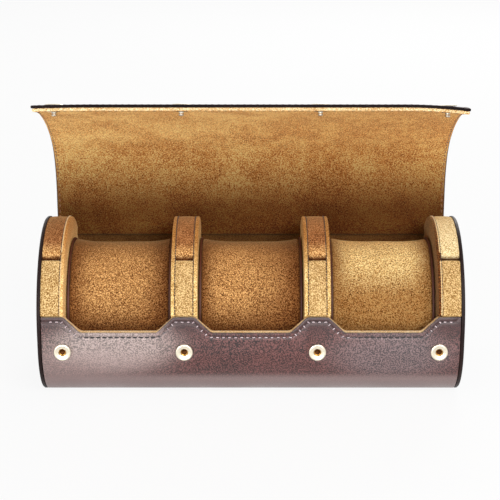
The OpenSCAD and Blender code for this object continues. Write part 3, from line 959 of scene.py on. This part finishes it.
faceFront = Matrix.Rotation(math.radians(90), 4, "X")
places = [Matrix.Translation(Vector((x, -section["archR"], studHole["z"])) * mm) @ faceFront for x in studHole["xs"]]
sockets = turnedParts("frontSockets", socketProfile, stud["steps"], places, snapGold)
finishFaces(sockets, pitShadeGold,  # the sockets' inner faces, darker gold as painted shade in the holes
            lambda c, n: c.y > stud["pitIn"] - section["archR"] and studDistance(c.x, c.z) < stud["pitR"])
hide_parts("front_snap_sockets")
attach(sockets, "case")
rings = turnedParts("socketSprings", ringProfile, stud["ringSteps"], places, ringGold)
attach(rings, "case")

postProfile = [(0, -2.9), (1.5, -2.9), (1.5, 0.06), (2.9, 0.06), (3.0, 0.12), (2.9, 0.2), (2.4, 0.26), (1.3, 0.3),
               (1.15, 0.7), (1.1, 1.1), (1.28, 1.45), (1.28, 1.7), (1.1, 2.05), (0.7, 2.25), (0, 2.3)]
capProfile = [(0, 0.0), (4.3, 0.0), (4.5, 0.08), (4.45, 0.22), (4.2, 0.34), (3.4, 0.43), (2.0, 0.49), (0, 0.5)]


# the row of places near the lid's tip, on its lining or its leather
def tipPlaces(out, turn):
    s = lid["borders"][4] - stud["fromTip"]
    _, _, ny, nz = lidAt(s)
    facing = Matrix.Rotation(math.atan2(nz, ny) + math.radians(turn), 4, "X")
    return [Matrix.Translation(Vector(lidPoint(x, s, out)) * mm) @ facing for x in studHole["xs"]]


posts = turnedParts("lidPosts", postProfile, stud["postSteps"], tipPlaces(0, 90), postSteel)
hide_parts("lid_snap_posts")
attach(posts, "lid_5")
buttons = turnedParts("lidButtons", capProfile, stud["steps"], tipPlaces(lidThick, -90), snapGold)
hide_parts("lid_snap_caps")
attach(buttons, "lid_5")
print("press studs ready")


# the seams

seam = dict(pitch=3.0, stitch=(1.85, 0.66, 0.58), pit=(2.35, 1.2, 0.42), below=2.35, half=101.6, sunk=0.05)


def stitchForm(length, width, height):
    bpy.ops.object.select_all(action="DESELECT")
    bpy.ops.mesh.primitive_uv_sphere_add(segments=8, ring_count=6, radius=0.5 * mm)
    obj = bpy.context.object
    for v in obj.data.vertices:
        x, y, z = v.co
        v.co = (z * length, y * width, x * height)
    return obj


# one stitch at p, along t and standing on n
def stitchMatrix(p, t, n):
    t, n = Vector(t).normalized(), Vector(n).normalized()
    side = n.cross(t).normalized()
    turn = Matrix((t, side, n)).transposed().to_4x4()
    return Matrix.Translation(Vector(p) * mm) @ turn


# evenly spaced (place, direction) along a polyline, the first half a gap from its start
def spaced(points, pitch):
    points = [Vector(p) for p in points]
    total = sum((q - p).length for p, q in zip(points, points[1:]))
    count = max(1, round(total / pitch))
    gap = total / count
    found, walked, want = [], 0.0, gap / 2
    for p, q in zip(points, points[1:]):
        d = (q - p).length
        while want <= walked + d and len(found) < count:
            found.append((p + (q - p) * (want - walked) / d, (q - p) / d))
            want += gap
        walked += d
    return found


# a seam of stitches of this length, width and height
def sew(name, stitch, places, thread):
    return dress(joinedCopies(stitchForm(*stitch), places), name, thread, 180)


line = [Vector((p.x, heightGirth(p.y))) for p in thirds + [scallop[-1]]]
lowered = []
for i, p in enumerate(line):
    d = (line[min(i + 1, len(line) - 1)] - line[max(i - 1, 0)]).normalized()
    lowered.append(p + Vector((-d.y, d.x)) * seam["below"])
places = []
for p, d in spaced([q for q in lowered if abs(q.x) < seam["half"]], seam["pitch"]):
    y, z, ny, nz = caseAt(p.y, seam["sunk"] - pressing["groove"])
    places.append(stitchMatrix((p.x, y, z), (d.x, d.y * nz, -d.y * ny), (0, ny, nz)))
wallSeam = sew("wallSeam", seam["stitch"], places, wallThread)
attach(wallSeam, "case")
wallPits = sew("wallSeamShade", seam["pit"], places, seamShade)
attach(wallPits, "case")

rimSeam = dict(r=45.25, pitch=1.5, stitch=(1.3, 0.5, 0.5), back=-43, front=78,
               xs=(-93.9, -37.3, -28.3, 28.3, 37.3, 93.9))


# a point round the arch, its angle taken forward from the top
def polar(r, angle):
    a = math.radians(angle)
    return Vector((-r * math.sin(a), section["archZ"] + r * math.cos(a)))


arch = [polar(rimSeam["r"], a) for a in range(rimSeam["back"], rimSeam["front"] + 1)]
places = [stitchMatrix((x, p.x, p.y), (0, d.x, d.y), (0, p.x, p.y - section["archZ"]))
          for x in rimSeam["xs"] for p, d in spaced(arch, rimSeam["pitch"])]
dividerSeams = sew("dividerSeams", rimSeam["stitch"], places, darkThread)
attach(dividerSeams, "case")

# the piping beside an end pad, which turns in round the head's nose
piping = dict(stitch=(1.7, 0.75, 0.6), r=45.4, turn=3, turnAt=34.6, turnSteps=8, into=2.5, post=43,
              xs=(-93.5, 93.5))
headLine = [polar(piping["r"], a) for a in range(rimSeam["back"], math.ceil(piping["turnAt"]))]
centre = polar(piping["r"] - piping["turn"], piping["turnAt"])
outward = (polar(1, piping["turnAt"]) - polar(0, 0)).normalized()
onward = Vector((-outward.y, outward.x))
for i in range(1, piping["turnSteps"] + 1):
    t = math.pi / 2 * i / piping["turnSteps"]
    headLine.append(centre + piping["turn"] * (math.cos(t) * outward + math.sin(t) * onward))
headLine.append(headLine[-1] - outward * piping["into"])
postLine = [polar(piping["r"], a) for a in range(piping["post"], rimSeam["front"] + 1)]
places = [stitchMatrix((x, p.x, p.y), (0, d.x, d.y), (0, d.y, -d.x))
          for x in piping["xs"] for line in (headLine, postLine) for p, d in spaced(line, rimSeam["pitch"])]
endPiping = sew("endPiping", piping["stitch"], places, paleThread)
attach(endPiping, "case")

lidSeams = dict(stitch=(1.85, 0.66, 0.32), first=1.5, ahead=0.5, inset=1.3, across=33,
                sides=(("In", -0.04, -1, 1.7, suedeThread), ("Out", lidThick - 0.07, 1, 1.3, lidThread)))
for k in range(5):
    first, ahead, pitch = lidSeams["first"], lidSeams["ahead"], seam["pitch"]
    s0 = first if k == 0 else lid["borders"][k - 1]
    s1 = lid["borders"][k] - (lidSeams["inset"] if k == 4 else 0)
    for side, out, direction, edge, thread in lidSeams["sides"]:
        steps = range(math.ceil((s0 - first) / pitch), math.floor((s1 - first) / pitch) + 1)
        ends = (edge - section["halfLength"], section["halfLength"] - edge)
        spots = [(x, first + i * pitch, x, first + i * pitch + ahead) for x in ends for i in steps]
        if k == 4:
            across = range(-lidSeams["across"], lidSeams["across"] + 1)
            spots += [(i * pitch, s1, i * pitch + ahead, s1) for i in across]
        places = []
        for x, s, onX, onS in spots:
            _, _, ny, nz = lidAt(s)
            p, q = Vector(lidPoint(x, s, out)), Vector(lidPoint(onX, onS, out))
            places.append(stitchMatrix(p, q - p, (0, direction * ny, direction * nz)))
        lidSeam = sew(f"lidSeam{side}{k + 1}", lidSeams["stitch"], places, thread)
        bendWith(lidSeam, k)
print("seams ready")


# what stays of the CAD model gets its finish

finishes = {"_core": suede["core"], "cap_board": panelLeather, "washers": ringGold}
for name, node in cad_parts.items():
    for word, material in finishes.items():
        if word in name:
            node.data.materials.clear()
            node.data.materials.append(material)


# floor, light and camera

# the rays that see the plain white around the object
def whiteRays(tree):
    path = addNode(tree, "ShaderNodeLightPath")
    seen = mathNode(tree, "MAXIMUM", path.outputs["Is Camera Ray"], path.outputs["Is Glossy Ray"])
    return mathNode(tree, "MAXIMUM", seen, path.outputs["Is Transmission Ray"])


ground = dict(size=8, mottle=9.0, low=(0.82, 0.82, 0.82, 1), high=(0.86, 0.86, 0.86, 1), lit=0.4, seen=0.9)


def floorMaterial():
    mat, tree, shader = newMaterial("paleFloor")
    mottle = noiseNode(tree, objectPlace(tree), ground["mottle"], 3.0)
    colour = mixColour(tree, mottle.outputs[0], ground["low"], ground["high"])
    tree.links.new(colour, shader.inputs["Base Color"])
    shader.inputs["Roughness"].default_value = 0.8
    glow = addNode(tree, "ShaderNodeEmission", {"Color": (1, 1, 1, 1), "Strength": 1.0})
    bounce = addNode(tree, "ShaderNodeMapRange", {"Value": whiteRays(tree), "To Min": ground["lit"],
                                                  "To Max": ground["seen"]})
    mix = addNode(tree, "ShaderNodeMixShader", {0: bounce.outputs["Result"], 1: shader.outputs[0], 2: glow.outputs[0]})
    tree.links.new(mix.outputs[0], tree.nodes["Material Output"].inputs["Surface"])
    return mat


bpy.ops.object.select_all(action="DESELECT")
bpy.ops.mesh.primitive_plane_add(size=ground["size"], location=(0, 0, 0))
floor = bpy.context.object
floor.name = "floor"
floor.data.materials.append(floorMaterial())


softboxes = dict(  # place, aim, size, watts
    keyBox=((0.5, -1.15, 0.7), (0, 0, 0.06), (0.8, 0.5), 14.5),
    fillBox=((-0.8, -1.0, 0.5), (0, 0, 0.07), (0.5, 0.5), 3.5),
    backBox=((0.35, 1.2, 0.75), (0, 0, 0.06), (0.8, 0.6), 7.0),
    lowBox=((-0.25, -1.1, 0.1), (0, 0.04, 0.13), (0.7, 0.15), 4.0))
for name, (place, aim, size, watts) in softboxes.items():
    lamp = bpy.data.lights.new(name, "AREA")
    lamp.shape, lamp.size, lamp.size_y, lamp.energy = "RECTANGLE", size[0], size[1], watts
    obj = newObject(name, lamp)
    obj.location = place
    obj.rotation_euler = (Vector(aim) - Vector(place)).to_track_quat("-Z", "Y").to_euler()

world = bpy.data.worlds.new("studio")
bpy.context.scene.world = world
world.use_nodes = True
tree = world.node_tree
direction = addNode(tree, "ShaderNodeSeparateXYZ", {0: addNode(tree, "ShaderNodeTexCoord").outputs["Generated"]})
sky = addNode(tree, "ShaderNodeMapRange", {"Value": direction.outputs["Z"], "From Min": 0.05, "From Max": 0.7,
                                           "To Min": 0.14, "To Max": 0.36})
level = mathNode(tree, "MAXIMUM", whiteRays(tree), sky.outputs["Result"])
tree.nodes["Background"].inputs["Color"].default_value = (1, 1, 1, 1)
tree.links.new(level, tree.nodes["Background"].inputs["Strength"])

bpy.context.scene.view_settings.view_transform = "Standard"

shot = dict(place=(-0.0004, -0.7612, 0.3044), pitch=17.31, lens=111.97)
camera = bpy.data.cameras.new("camera")
camera.lens, camera.sensor_width = shot["lens"], 36
cameraObject = newObject("camera", camera)
cameraObject.location = shot["place"]
cameraObject.rotation_euler = (math.radians(90 - shot["pitch"]), 0, 0)
bpy.context.scene.camera = cameraObject

print("scene ready")
